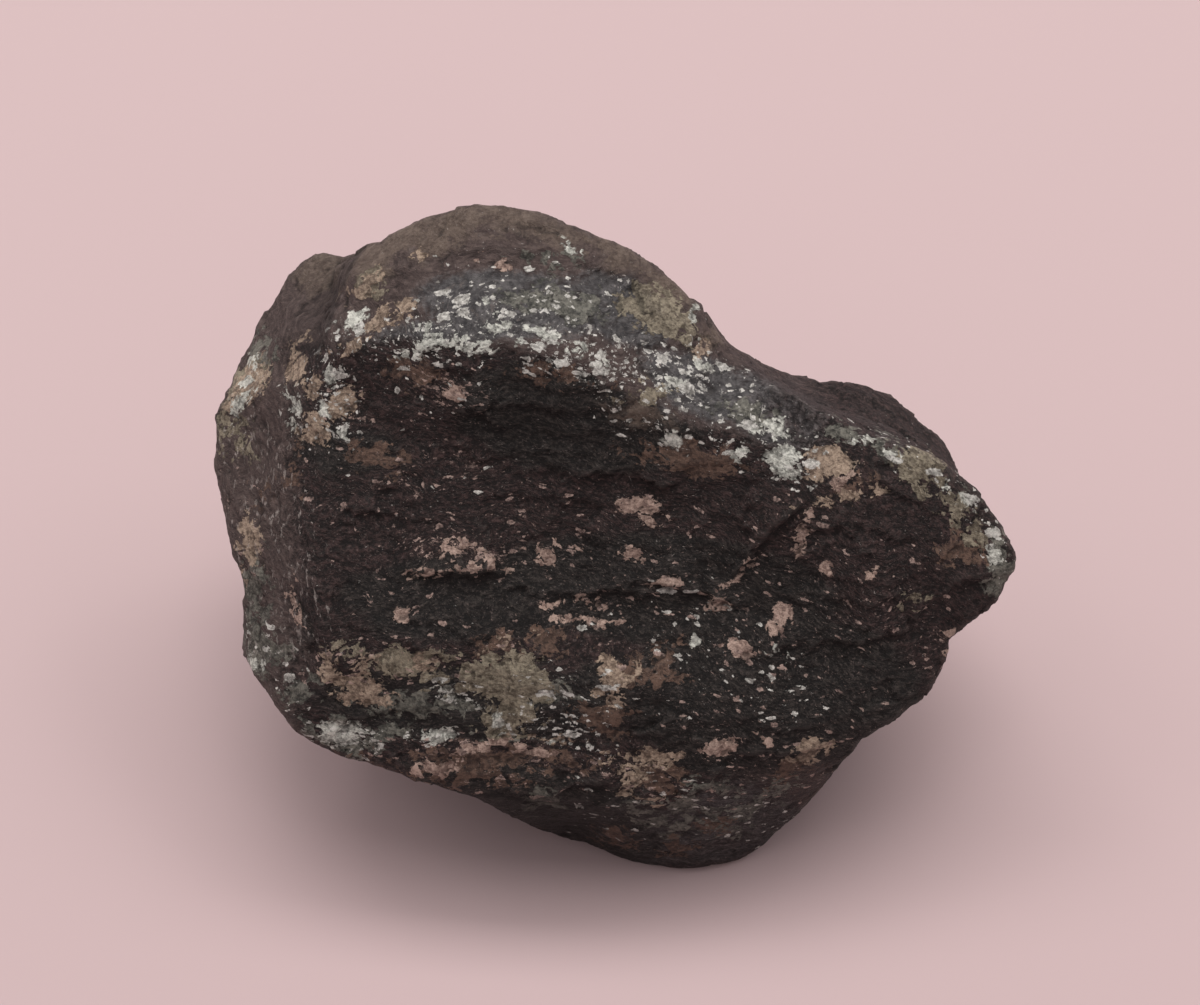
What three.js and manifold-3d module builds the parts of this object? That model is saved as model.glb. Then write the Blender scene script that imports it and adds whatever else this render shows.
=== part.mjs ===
// Rough labradorite chunk: one broken piece of dark foliated stone, lying on its broadest natural facet.
// Millimetres, +Z up, +X along the longest side, origin at the middle of the underside.
import * as THREE from 'three';
import { ConvexHull } from 'three/addons/math/ConvexHull.js';
import { ImprovedNoise } from 'three/addons/math/ImprovedNoise.js';
import { TessellateModifier } from 'three/addons/modifiers/TessellateModifier.js';
import { mergeVertices } from 'three/addons/utils/BufferGeometryUtils.js';
import Module from 'manifold-3d';

// Driving dimensions.
const HEART = new THREE.Vector3(-1, -2, 24);
const LONGEST_EDGE = 3.5;
const WEAR_PASSES = 2;
const WEAR_SHARE = 0.16;
const FLAT_CUT_HEIGHT = 0;
const LUMP_SIZE = 11;
const LUMP_HEIGHT = 0.7;
const CHIP_SIZE = 4.2;
const CHIP_HEIGHT = 0.5;
const LAYER_THICKNESS = 2.6;
const LAYER_STEP = 0.45;
const LAYER_UP = new THREE.Vector3(0.12, -0.04, 1).normalize();

// The corners where the broken faces meet, one list for each edge or face of the stone.
const CORNERS = {
  crest: [
    [-26, 6, 44.5], [-19, 5, 47], [-12, 3.5, 48], [-5, 2.5, 47.5], [1, 0.5, 45],
    [8, -1.5, 42], [15.5, -3, 39], [22.5, -3.5, 37.5], [30, -4.5, 34],
  ],
  hump: [
    [-26, 11, 44.5], [-25.5, 15.5, 46], [-23, 17.5, 47.5], [-19.5, 18.5, 49.5], [-12.5, 19, 51.5], [-5, 17.5, 50.5],
    [3, 15, 48], [8, 11.5, 45], [10.5, 9, 41.5],
  ],
  rightWing: [
    [14, 4, 41.5], [19, 2.5, 40], [24.5, 0.5, 38.5], [30.5, -0.5, 36.5], [35.5, -3, 33], [38.8, -7, 28],
  ],
  darkFace: [
    [-18, -1.5, 39], [-5, -3, 37.5], [8.5, -6, 34.5], [17, -7.5, 34.5], [25.5, -9, 31.5],
    [-15, -8.5, 32.5], [-1, -11, 29], [12, -12, 28], [25.5, -14.5, 24.5],
  ],
  frontLip: [[-26, -16, 26], [-12, -16, 27], [-1, -18, 25], [10, -20.5, 22], [21, -19.5, 20]],
  overhang: [
    [-36, -12.5, 19.5], [-32, -18, 18], [-27, -21.5, 17], [-20, -23.5, 16], [-12.5, -25, 14.5],
    [-1, -25, 14.5], [8.5, -24.5, 14], [17, -22.5, 14.5], [23, -20.2, 17.2], [28.2, -18, 19],
  ],
  rightFlank: [[36, -10.2, 25], [32, -12.6, 23.2], [31.8, -15, 20.6], [37, -1, 27], [34, -2, 16]],
  leftShoulder: [[-28, 5, 41.5], [-27.5, -4, 35], [-28, -10.5, 30]],
  leftFlank: [[-35, 12.5, 37], [-39, 9.5, 33], [-40, 5.5, 29.5], [-38, 0, 27], [-36.5, -5, 25], [-36.5, -8.5, 22]],
  backLeftLobe: [
    [-36, 17, 36], [-33.5, 21, 38.5], [-30, 23.5, 41], [-26.5, 22.5, 41], [-27.5, 16, 41], [-31, 12.5, 40.5],
  ],
  backRightLobe: [
    [12, 13, 37], [18, 14, 32.5], [24, 15, 30.5], [29.5, 14.5, 28.5], [33.5, 11.5, 26.5], [35, 7, 25],
    [18, 9.5, 34.5], [26.5, 8, 31], [32, 5.5, 29],
  ],
  back: [
    [-17, 22, 41], [-7, 23, 39], [3, 18.5, 38], [-31, 23, 27], [-14, 25.5, 25], [1, 23, 26], [14, 19, 21], [27, 15, 18],
  ],
  belly: [
    [-35, 10, 17], [-33, -3, 13], [-25, -13, 11], [-27, 12, 8], [-7, 20, 9], [9, 17, 7], [22, 9, 7], [30, 1, 9],
    [27, -10, 9], [-15, -19, 9],
  ],
  foot: [
    [-8.5, -23.5, 7.5], [-5.5, -21.5, 2], [3.5, -23, -1], [9, -23.5, -1], [13.5, -22.5, -1], [17, -21.5, 4], [20.5, -20, 9],
    [21, -12, -1], [19, 1, -0.4], [8, 11, -1], [-9, 12, -1], [-20, 4, -1], [-15, -9, -1], [1, -5, -1],
  ],
};

// Joins the corners into one closed skin, seen from the heart of the stone.
function skinOfCorners() {
  const corners = Object.values(CORNERS).flat().map((c) => new THREE.Vector3(...c));
  const rays = corners.map((c) => c.clone().sub(HEART).normalize());
  const hull = new ConvexHull().setFromPoints(rays);
  const positions = [];
  for (const face of hull.faces) {
    let edge = face.edge;
    do {
      const corner = corners[rays.indexOf(edge.head().point)];
      positions.push(corner.x, corner.y, corner.z);
      edge = edge.next;
    } while (edge !== face.edge);
  }
  const skin = new THREE.BufferGeometry();
  skin.setAttribute('position', new THREE.Float32BufferAttribute(positions, 3));
  return skin;
}

function neighboursOf(skin) {
  const neighbours = Array.from({ length: skin.attributes.position.count }, () => new Set());
  const index = skin.index.array;
  for (let i = 0; i < index.length; i += 3) {
    for (let side = 0; side < 3; side += 1) {
      const from = index[i + side];
      const to = index[i + ((side + 1) % 3)];
      neighbours[from].add(to);
      neighbours[to].add(from);
    }
  }
  return neighbours;
}

// Handling takes the keenest edges off: each spot moves part of the way towards its neighbours.
function wearEdges(skin) {
  const neighbours = neighboursOf(skin);
  const positions = skin.attributes.position;
  const spot = new THREE.Vector3();
  const other = new THREE.Vector3();
  const mean = new THREE.Vector3();
  for (let pass = 0; pass < WEAR_PASSES; pass += 1) {
    const worn = [];
    for (let i = 0; i < positions.count; i += 1) {
      spot.fromBufferAttribute(positions, i);
      mean.set(0, 0, 0);
      for (const n of neighbours[i]) {
        mean.add(other.fromBufferAttribute(positions, n));
      }
      mean.divideScalar(neighbours[i].size);
      worn.push(spot.clone().lerp(mean, WEAR_SHARE));
    }
    worn.forEach((p, i) => positions.setXYZ(i, p.x, p.y, p.z));
  }
}

// Lumps and chips of the fracture, and the ledges left where the flat mineral layers broke off.
function roughen(skin) {
  const noise = new ImprovedNoise();
  const positions = skin.attributes.position;
  const spot = new THREE.Vector3();
  const out = new THREE.Vector3();
  for (let i = 0; i < positions.count; i += 1) {
    spot.fromBufferAttribute(positions, i);
    out.copy(spot).sub(HEART).normalize();
    const lump = noise.noise(spot.x / LUMP_SIZE, spot.y / LUMP_SIZE, spot.z / LUMP_SIZE);
    const chip = noise.noise(spot.x / CHIP_SIZE + 40, spot.y / CHIP_SIZE, spot.z / CHIP_SIZE);
    const layer = (spot.dot(LAYER_UP) + 2 * lump) / LAYER_THICKNESS;
    const ledge = layer - Math.floor(layer) - 0.5;
    const steepness = 1 - Math.abs(out.dot(LAYER_UP));
    spot.addScaledVector(out, LUMP_HEIGHT * lump + CHIP_HEIGHT * chip + LAYER_STEP * ledge * steepness);
    positions.setXYZ(i, spot.x, spot.y, spot.z);
  }
}

const wasm = await Module();
wasm.setup();

function solidOf(skin) {
  return new wasm.Manifold(new wasm.Mesh({
    numProp: 3,
    vertProperties: new Float32Array(skin.attributes.position.array),
    triVerts: new Uint32Array(skin.index.array),
  }));
}

const skin = mergeVertices(new TessellateModifier(LONGEST_EDGE, 16).modify(skinOfCorners()), 0.001);
wearEdges(skin);
roughen(skin);

// The natural flat underside that the stone lies on.
const slab = new THREE.BoxGeometry(200, 200, 50);
slab.deleteAttribute('normal');
slab.deleteAttribute('uv');
slab.translate(0, 0, FLAT_CUT_HEIGHT - 25);
const stone = solidOf(skin).subtract(solidOf(mergeVertices(slab)));

const mesh = stone.getMesh();
const geometry = new THREE.BufferGeometry();
geometry.setAttribute('position', new THREE.Float32BufferAttribute(mesh.vertProperties, 3));
geometry.setIndex(Array.from(mesh.triVerts));
geometry.computeBoundingBox();
const box = geometry.boundingBox;
geometry.translate(-(box.min.x + box.max.x) / 2, -(box.min.y + box.max.y) / 2, -box.min.z);
geometry.computeVertexNormals();

const material = new THREE.MeshStandardMaterial({ color: 0x3b3431, roughness: 0.7, metalness: 0 });
const chunk = new THREE.Mesh(geometry, material);
chunk.name = 'labradorite_chunk';

const part = new THREE.Group();
part.name = 'rough_labradorite_chunk';
part.add(chunk);

export default part;
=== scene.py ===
import math

import bmesh
import bpy
import numpy as np
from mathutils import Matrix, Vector
from mathutils.bvhtree import BVHTree


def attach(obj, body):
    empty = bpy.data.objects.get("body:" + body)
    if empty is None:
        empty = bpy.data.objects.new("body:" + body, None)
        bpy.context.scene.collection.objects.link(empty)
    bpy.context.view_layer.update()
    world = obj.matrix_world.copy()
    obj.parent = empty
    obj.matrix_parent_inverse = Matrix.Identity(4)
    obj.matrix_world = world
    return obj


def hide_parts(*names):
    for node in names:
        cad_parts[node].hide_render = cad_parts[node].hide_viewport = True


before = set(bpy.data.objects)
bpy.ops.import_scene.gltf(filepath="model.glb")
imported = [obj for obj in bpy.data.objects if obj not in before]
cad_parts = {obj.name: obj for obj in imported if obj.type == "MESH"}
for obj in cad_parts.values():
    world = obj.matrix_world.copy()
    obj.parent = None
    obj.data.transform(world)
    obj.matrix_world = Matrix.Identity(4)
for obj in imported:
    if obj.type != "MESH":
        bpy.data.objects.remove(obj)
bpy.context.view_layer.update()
scene = bpy.context.scene
MM = 0.001


# ---- Camera -------------------------------------------------------------------------------
# The stone is looked down on from the front, square to its broad dark face. A short
# telephoto lens about 22 cm away keeps the near and far ends in proportion.
CAMERA_ELEVATION = math.radians(50)
CAMERA_DISTANCE = 220 * MM
LOOKED_AT = Vector((-1, -5, 35)) * MM
SEEN_WIDTH = 112.2 * MM

towards_camera = Vector((0, -math.cos(CAMERA_ELEVATION), math.sin(CAMERA_ELEVATION)))
camera_data = bpy.data.cameras.new("close_camera")
camera_data.sensor_width = 36
camera_data.lens = 36 * CAMERA_DISTANCE / SEEN_WIDTH
camera_data.clip_start = 0.01
camera = bpy.data.objects.new("close_camera", camera_data)
camera.location = LOOKED_AT + towards_camera * CAMERA_DISTANCE
camera.rotation_mode = "QUATERNION"
camera.rotation_quaternion = (-towards_camera).to_track_quat("-Z", "Y")
scene.collection.objects.link(camera)
scene.camera = camera


# ---- Table card ---------------------------------------------------------------------------
# A smooth sheet of pale pink card under the stone. It is matt, with a very faint
# unevenness in its tone.
CARD_DARK = (0.592, 0.454, 0.460, 1)
CARD_PALE = (0.611, 0.469, 0.474, 1)
CARD_HALF_WIDTH = 1.5


def put(tree, kind, values=(), **settings):
    """Adds a node. values maps an input's name or place to a number, a colour or another node's output."""
    made = tree.nodes.new(kind)
    for name, setting in settings.items():
        setattr(made, name, setting)
    for name, value in dict(values).items():
        if isinstance(value, bpy.types.NodeSocket):
            tree.links.new(value, made.inputs[name])
        else:
            made.inputs[name].default_value = value
    return made


def mix_colours(tree, share, first, second):
    """first where share is 0 and second where it is 1."""
    return put(tree, "ShaderNodeMix", {0: share, 6: first, 7: second}, data_type="RGBA").outputs[2]


card_mesh = bpy.data.meshes.new("table_card")
card_mesh.from_pydata(
    [(x * CARD_HALF_WIDTH, y * CARD_HALF_WIDTH, 0) for x, y in ((-1, -1), (1, -1), (1, 1), (-1, 1))],
    [],
    [(0, 1, 2, 3)],
)
card = bpy.data.objects.new("table_card", card_mesh)
scene.collection.objects.link(card)
card_finish = bpy.data.materials.new("matt_pink_card")
card_finish.use_nodes = True
card_nodes = card_finish.node_tree
card_surface = card_nodes.nodes["Principled BSDF"]
card_surface.inputs["Roughness"].default_value = 0.85
card_surface.inputs["Specular IOR Level"].default_value = 0.2
card_place = put(card_nodes, "ShaderNodeTexCoord").outputs["Object"]
card_cloud = put(card_nodes, "ShaderNodeTexNoise", {"Vector": card_place, "Scale": 9, "Detail": 3})
card_nodes.links.new(
    mix_colours(card_nodes, card_cloud.outputs["Fac"], CARD_DARK, CARD_PALE),
    card_surface.inputs["Base Color"],
)
card_mesh.materials.append(card_finish)


# ---- Soft studio light --------------------------------------------------------------------
# One long lamp high behind the stone throws its soft shadow forwards. Weaker lamps fill
# from above and from each side, and an even pale room lights the rest.
ROOM_COLOUR = (0.93, 0.86, 0.86, 1)
ROOM_STRENGTH = 0.42
LAMP_AIM = Vector((0, 0, 20)) * MM
LAMPS = [
    # name, place in mm, width and depth in mm, watts, colour
    ("back_softbox", (40, 400, 850), (1200, 300), 5.3, (1.0, 0.97, 0.95)),
    ("top_softbox", (0, 40, 900), (450, 450), 1.5, (1.0, 0.97, 0.95)),
    ("left_fill", (-380, 100, 430), (300, 300), 0.42, (1.0, 0.97, 0.96)),
    ("right_fill", (380, 100, 430), (300, 300), 0.36, (1.0, 0.97, 0.96)),
]

room = bpy.data.worlds.new("pale_room")
room.use_nodes = True
room_light = room.node_tree.nodes["Background"]
room_light.inputs["Color"].default_value = ROOM_COLOUR
room_light.inputs["Strength"].default_value = ROOM_STRENGTH
scene.world = room
scene.view_settings.view_transform = "Standard"
for name, place, (width, depth), watts, colour in LAMPS:
    lamp_data = bpy.data.lights.new(name, "AREA")
    lamp_data.shape = "RECTANGLE"
    lamp_data.size = width * MM
    lamp_data.size_y = depth * MM
    lamp_data.energy = watts
    lamp_data.color = colour
    lamp = bpy.data.objects.new(name, lamp_data)
    lamp.location = Vector(place) * MM
    lamp.rotation_mode = "QUATERNION"
    lamp.rotation_quaternion = (LAMP_AIM - lamp.location).to_track_quat("-Z", "Y")
    scene.collection.objects.link(lamp)


# ---- The stone: its broken shape ------------------------------------------------------------
# One lump of dark foliated feldspar rock, broken by hand from a larger block. Its flat
# mineral layers lie nearly level and snap off in small ledges, with lumps and chips between.
GRAIN_OF_MESH = 0.398 * MM
LAYER_UP = Vector((0.10, -0.05, 1)).normalized()
RELIEF_SEED = 3.7
RELIEF = {
    # sizes in mm of the relief that the break leaves
    "Lump Size": 8.0,
    "Lump Height": 0.40,
    "Chip Size": 4.6,
    "Chip Height": 0.18,
    "Ledge Spacing": 2.1,
    "Ledge Height": 0.16,
    "Fine Ledge Spacing": 0.85,
    "Fine Ledge Height": 0.10,
    "Grit Size": 1.3,
    "Grit Height": 0.09,
    "Back Slab Size": 10.0,
    "Back Slab Height": 0.62,
}

stone_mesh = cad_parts["labradorite_chunk"].data.copy()
tidy = bmesh.new()
tidy.from_mesh(stone_mesh)
bmesh.ops.remove_doubles(tidy, verts=tidy.verts, dist=0.005 * MM)
tidy.to_mesh(stone_mesh)
tidy.free()
stone_mesh.name = "labradorite_stone"
stone_mesh.materials.clear()
stone = bpy.data.objects.new("labradorite_stone", stone_mesh)
scene.collection.objects.link(stone)


def settle(piece):
    """Turns a piece and its live modifiers into one plain mesh."""
    shaped = piece.evaluated_get(bpy.context.evaluated_depsgraph_get())
    plain = bpy.data.meshes.new_from_object(shaped)
    piece.modifiers.clear()
    piece.data = plain
    return plain


rounding = stone.modifiers.new("rounding", "SUBSURF")
rounding.levels = rounding.render_levels = 1
even_grain = stone.modifiers.new("even_grain", "REMESH")
even_grain.mode = "VOXEL"
even_grain.voxel_size = GRAIN_OF_MESH
stone_mesh = settle(stone)


def places_of(mesh):
    """The vertices as rows of x, y and z in mm."""
    flat = np.empty(len(mesh.vertices) * 3)
    mesh.vertices.foreach_get("co", flat)
    return flat.reshape(-1, 3) / MM


def normals_of(mesh):
    flat = np.empty(len(mesh.vertices) * 3)
    mesh.vertices.foreach_get("normal", flat)
    return flat.reshape(-1, 3)


def move_to(mesh, places):
    mesh.vertices.foreach_set("co", (places * MM).ravel())
    mesh.update()


def add_values(mesh, name, values):
    mesh.attributes.new(name, "FLOAT", "POINT").data.foreach_set("value", values.astype(np.float32))


# The broad face leans back 40 degrees. Places on it are given in mm across it to the right
# and up its slope, from a point near its middle, as they line up from 22 cm in front of it.
FACE_MIDDLE = np.array(LOOKED_AT) / MM
FACE_DISTANCE = 220
FACE_OUT = np.array(towards_camera)
FACE_UP = np.array([0, math.sin(CAMERA_ELEVATION), math.cos(CAMERA_ELEVATION)])


def on_face(places):
    from_middle = places - FACE_MIDDLE
    nearness = FACE_DISTANCE / (FACE_DISTANCE - from_middle @ FACE_OUT)
    return from_middle[:, 0] * nearness, from_middle @ FACE_UP * nearness


# Where whole slabs of layers have snapped away: the broken edge runs from one place to the
# next with the slab standing on its left, then the height of the step and how far back the
# slab reaches before it dies out.
SNAPPED_EDGES = [
    ((-19, -6.4), (-8.5, -6.6), 0.9, 4.0),
    ((12, -7.5), (19.5, 1.0), 0.65, 3.0),
    ((-9, -8.3), (6, -8.8), 0.55, 2.2),
    ((4, -7.4), (14, -9.6), 0.6, 2.0),
    ((-25, -0.8), (-14, -1.6), 0.3, 2.5),
    ((-6, 3.2), (8, 1.4), 0.3, 3.0),
    ((12, -14.6), (29, -12.0), 0.35, 3.0),
    ((-14, 9.6), (-2, 8.4), 0.3, 2.4),
    ((14, -2.0), (30, -3.6), 0.35, 2.5),
    ((31, -7.6), (38, -6.4), 0.5, 2.0),
    ((-23.0, 23.2), (-24.6, 19.5), 0.7, 3.0),
    ((-24.6, 19.5), (-26.0, 13.5), 0.7, 3.0),
    ((-23.5, 18.2), (-16.5, 23.0), 0.35, 2.4),
    ((-16.5, 23.0), (-4, 23.4), 0.25, 2.4),
    ((-4, 23.4), (1.4, 20.6), 0.3, 2.4),
    ((1.4, 20.6), (2.4, 15.4), 0.45, 3.0),
    ((2.4, 15.4), (9.8, 14.2), 0.4, 2.4),
    ((24, 4.2), (31.4, -1.8), 0.35, 2.0),
    ((-9.5, -26.9), (1.9, -27.0), 0.7, 3.0),
    ((1.9, -27.0), (5.9, -28.2), 0.6, 2.5),
    ((5.9, -28.2), (12.6, -24.2), 0.5, 2.5),
    ((12.6, -24.2), (21.4, -23.5), 0.6, 2.5),
]


def lattice(column, row, tier, seed):
    """A repeatable random share for each corner of an endless grid."""
    mixed = (column * 374761393 + row * 668265263 + tier * 1442695041 + seed * 974634777) & 0xFFFFFFFF
    mixed = ((mixed ^ (mixed >> 13)) * 1274126177) & 0xFFFFFFFF
    return ((mixed ^ (mixed >> 16)) & 0xFFFF) / 65535


def soft_noise(points, size, seed, octaves=3):
    """Smooth noise from about -1 to 1, with lumps of this size in mm and finer ones on them."""
    total, height = np.zeros(len(points)), 1.0
    for octave in range(octaves):
        grid = points / size * 2**octave + 100
        cell = np.floor(grid).astype(np.int64)
        share = grid - cell
        share = share * share * (3 - 2 * share)
        value = np.zeros(len(points))
        for corner in range(8):
            bits = np.array([corner & 1, corner >> 1 & 1, corner >> 2 & 1])
            weight = np.prod(np.where(bits, share, 1 - share), axis=1)
            value += weight * lattice(*(cell + bits).T, seed + octave)
        total += height * (value * 2 - 1)
        height *= 0.5
    return total


places = places_of(stone_mesh)
normals = normals_of(stone_mesh)
across, up = on_face(places)
front_share = np.clip((normals @ FACE_OUT - 0.05) / 0.3, 0, 1)
ragged = 0.9 * soft_noise(places, 3.0, 5) + 0.3 * soft_noise(places, 0.9, 6)
step = np.zeros(len(places))
for (x0, y0), (x1, y1), height, run in SNAPPED_EDGES:
    length = math.hypot(x1 - x0, y1 - y0)
    along = ((across - x0) * (x1 - x0) + (up - y0) * (y1 - y0)) / length
    behind = ((up - y0) * (x1 - x0) - (across - x0) * (y1 - y0)) / length + ragged
    inside = np.clip(along / 2.0, 0, 1) * np.clip((length - along) / 2.0, 0, 1)
    riser = np.clip(behind / 0.35 + 0.5, 0, 1)
    step += height * riser * np.exp(-np.maximum(behind, 0) / run) * inside
places += normals * (step * front_share)[:, None]
move_to(stone_mesh, places)


# The relief of the break, made as a rule that follows the mineral layers.
relief = bpy.data.node_groups.new("layered_break", "GeometryNodeTree")
relief.interface.new_socket("Geometry", in_out="INPUT", socket_type="NodeSocketGeometry")
for name in RELIEF:
    relief.interface.new_socket(name, in_out="INPUT", socket_type="NodeSocketFloat")
relief.interface.new_socket("Seed", in_out="INPUT", socket_type="NodeSocketFloat")
relief.interface.new_socket("Finish", in_out="INPUT", socket_type="NodeSocketMaterial")
relief.interface.new_socket("Geometry", in_out="OUTPUT", socket_type="NodeSocketGeometry")
given = put(relief, "NodeGroupInput").outputs
made = put(relief, "NodeGroupOutput")


def sums(tree, how, *values):
    """One arithmetic step on numbers, such as ADD or MULTIPLY."""
    return put(tree, "ShaderNodeMath", dict(enumerate(values)), operation=how).outputs[0]


def vectors(tree, how, *values, out=0):
    return put(tree, "ShaderNodeVectorMath", dict(enumerate(values)), operation=how).outputs[out]


def scaled(tree, vector, factor):
    return put(tree, "ShaderNodeVectorMath", {0: vector, "Scale": factor}, operation="SCALE").outputs[0]


def ramp(tree, value, low, high, to_low=0.0, to_high=1.0):
    """value drawn from low..high to to_low..to_high, smoothly and no further."""
    return put(
        tree,
        "ShaderNodeMapRange",
        {"Value": value, "From Min": low, "From Max": high, "To Min": to_low, "To Max": to_high},
        interpolation_type="SMOOTHSTEP",
    ).outputs[0]


def cloud(tree, vector, scale, detail=2.0, roughness=0.5, out="Fac"):
    """Soft noise around 0.5."""
    return put(
        tree,
        "ShaderNodeTexNoise",
        {"Vector": vector, "Scale": scale, "Detail": detail, "Roughness": roughness},
    ).outputs[out]


spot = vectors(
    relief,
    "ADD",
    scaled(relief, put(relief, "GeometryNodeInputPosition").outputs[0], 1 / MM),
    put(relief, "ShaderNodeCombineXYZ", {"X": given["Seed"]}).outputs[0],
)
outward = put(relief, "GeometryNodeInputNormal").outputs[0]
level = vectors(relief, "DOT_PRODUCT", spot, LAYER_UP, out="Value")
steepness = sums(
    relief,
    "SUBTRACT",
    1.0,
    sums(relief, "ABSOLUTE", vectors(relief, "DOT_PRODUCT", outward, LAYER_UP, out="Value")),
)


def about_zero(tree, noise_value):
    return sums(tree, "SUBTRACT", noise_value, 0.5)


def ledges(spacing, height, warp, patch_scale):
    """A sawtooth up the layers: each one stands proud at its broken edge and fades behind it."""
    bent = sums(relief, "MULTIPLY_ADD", about_zero(relief, cloud(relief, spot, 0.16, 3.0)), warp, level)
    bent = sums(relief, "MULTIPLY_ADD", about_zero(relief, cloud(relief, spot, 0.7, 2.0)), warp * 0.25, bent)
    turns = sums(relief, "DIVIDE", bent, spacing)
    tooth = sums(relief, "SUBTRACT", 0.5, sums(relief, "FRACT", turns))
    patchy = ramp(relief, cloud(relief, spot, patch_scale, 2.0), 0.38, 0.62, 0.15, 1.0)
    return sums(
        relief,
        "MULTIPLY",
        sums(relief, "MULTIPLY", tooth, height),
        sums(relief, "MULTIPLY", patchy, ramp(relief, steepness, 0.02, 0.3)),
    )


def facets(size, height, flatten):
    """Tilted flat chips, one to a cell, wider along the layers than through them."""
    squeezed = vectors(relief, "MULTIPLY", spot, (1, 1, flatten))
    cell_share = sums(relief, "DIVIDE", 1.0, size)
    shake = vectors(relief, "SUBTRACT", cloud(relief, spot, 0.35, out="Color"), (0.5, 0.5, 0.5))
    shaken = vectors(relief, "ADD", squeezed, scaled(relief, shake, 2.2))
    cell = put(relief, "ShaderNodeTexVoronoi", {"Vector": shaken, "Scale": cell_share}, feature="F1")
    from_centre = vectors(relief, "SUBTRACT", shaken, cell.outputs["Position"])
    tilt = vectors(relief, "SUBTRACT", cell.outputs["Color"], (0.5, 0.5, 0.5))
    lean = vectors(relief, "DOT_PRODUCT", scaled(relief, from_centre, cell_share), tilt, out="Value")
    return sums(relief, "MULTIPLY", sums(relief, "MULTIPLY", lean, 2.4), height)


lump = cloud(relief, spot, sums(relief, "DIVIDE", 1.0, given["Lump Size"]), 2.0)
lump = sums(relief, "MULTIPLY", about_zero(relief, lump), sums(relief, "MULTIPLY", given["Lump Height"], 2.0))
grit = cloud(relief, spot, sums(relief, "DIVIDE", 1.0, given["Grit Size"]), 3.0, 0.6)
grit = sums(relief, "MULTIPLY", about_zero(relief, grit), sums(relief, "MULTIPLY", given["Grit Height"], 2.0))
fine = sums(
    relief,
    "ADD",
    sums(
        relief,
        "ADD",
        ledges(given["Ledge Spacing"], given["Ledge Height"], 5.0, 0.13),
        ledges(given["Fine Ledge Spacing"], given["Fine Ledge Height"], 3.0, 0.3),
    ),
    sums(
        relief,
        "ADD",
        facets(given["Chip Size"], given["Chip Height"], 1.9),
        facets(
            sums(relief, "MULTIPLY", given["Chip Size"], 0.37),
            sums(relief, "MULTIPLY", given["Chip Height"], 0.4),
            1.6,
        ),
    ),
)
# The sides away from the broad face broke into larger tilted slabs.
facing = vectors(relief, "DOT_PRODUCT", outward, tuple(FACE_OUT), out="Value")
turned_away = ramp(relief, facing, -0.02, -0.40)
slabs = sums(relief, "MULTIPLY", facets(given["Back Slab Size"], given["Back Slab Height"], 1.5), turned_away)
lump = sums(relief, "ADD", lump, slabs)
height = sums(relief, "ADD", sums(relief, "ADD", lump, grit), fine)
off_table = ramp(
    relief,
    put(relief, "ShaderNodeSeparateXYZ", {0: spot}).outputs["Z"],
    0.3,
    2.5,
)
push = scaled(relief, outward, sums(relief, "MULTIPLY", sums(relief, "MULTIPLY", height, off_table), MM))
moved = put(relief, "GeometryNodeSetPosition", {"Geometry": given["Geometry"], "Offset": push})
realized = put(relief, "GeometryNodeRealizeInstances", {"Geometry": moved.outputs[0]})
finished = put(
    relief,
    "GeometryNodeSetMaterial",
    {"Geometry": realized.outputs[0], "Material": given["Finish"]},
)
relief.links.new(finished.outputs[0], made.inputs[0])

stone_finish = bpy.data.materials.new("rough_labradorite")
stone_finish.use_nodes = True
breaking = stone.modifiers.new("layered_break", "NODES")
breaking.node_group = relief
for socket in relief.interface.items_tree:
    if socket.in_out == "INPUT" and socket.name in RELIEF:
        breaking[socket.identifier] = RELIEF[socket.name]
    elif socket.in_out == "INPUT" and socket.name == "Seed":
        breaking[socket.identifier] = RELIEF_SEED
    elif socket.in_out == "INPUT" and socket.name == "Finish":
        breaking[socket.identifier] = stone_finish
stone_mesh = settle(stone)
for face in stone_mesh.polygons:
    face.use_smooth = True


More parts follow.
